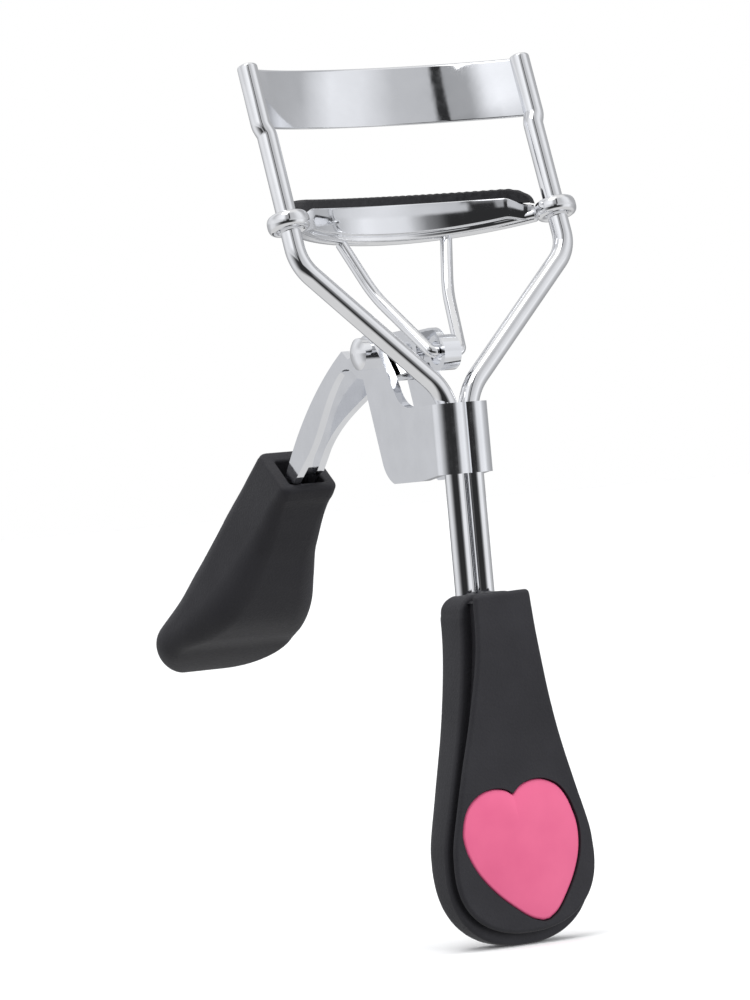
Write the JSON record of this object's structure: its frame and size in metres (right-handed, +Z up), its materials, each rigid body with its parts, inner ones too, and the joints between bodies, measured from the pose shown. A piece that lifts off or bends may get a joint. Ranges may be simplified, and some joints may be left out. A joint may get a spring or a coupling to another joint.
{
  "type": "eyelash curler",
  "caption": "Hand eyelash curler: bent wire frame with curved jaws, a rubber lash pad on a sliding lower jaw, a squeeze lever and two teardrop grips.",
  "frame": {"origin": "bottom centre of the whole tool's bounding box, with the handle standing upright and the jaws at the top", "axes": "+Z up along the handle from its foot to the jaws, +X to the right across the jaws, +Y back from the handle towards the squeeze lever"},
  "size_m": [0.0428, 0.0812, 0.1092],
  "materials": {
    "bright_plated_steel": "mirror-bright nickel or chrome plate on drawn steel wire",
    "bright_plated_sheet": "mirror-bright plate on pressed steel sheet",
    "pad_rubber": "matte black silicone rubber with fine ribs across the pad",
    "grip_plastic": "fine-textured soft-touch black plastic",
    "pink_inlay": "satin pink moulded plastic"
  },
  "bodies": {
    "frame": {"frame_wire_right": "bright_plated_steel", "frame_wire_left": "bright_plated_steel", "upper_jaw_plate": "bright_plated_sheet", "collar_bracket": "bright_plated_sheet", "pivot_rivet": "bright_plated_steel", "pivot_washers": "bright_plated_steel", "handle_grip_body": "grip_plastic", "handle_grip_cover": "grip_plastic", "heart_inlay": "pink_inlay"},
    "lever": {"lever_arm": "bright_plated_sheet", "link_clip": "bright_plated_sheet", "clip_rivet": "bright_plated_steel", "lever_grip": "grip_plastic"},
    "jaw": {"link_wire": "bright_plated_steel", "lower_jaw_bar": "bright_plated_steel", "guide_eye_right": "bright_plated_sheet", "guide_eye_left": "bright_plated_sheet", "lower_jaw_channel": "bright_plated_sheet", "lash_pad": "pad_rubber"}
  },
  "joints": [
    {"name": "lever_pivot", "type": "hinge", "parent": "frame", "child": "lever", "pos_m": [0, -0.01887, 0.07315], "axis": [-1, 0, 0], "range_deg": [-2, 40.5]},
    {"name": "jaw_slide", "type": "slide", "parent": "frame", "child": "jaw", "axis": [0, 0.2994, 0.9541], "range_m": [-0.0006, 0.0093]}
  ],
  "couplings": [
    {"joint": "jaw_slide", "follows": "lever_pivot", "m_per_rad": 0.01301}
  ]
}
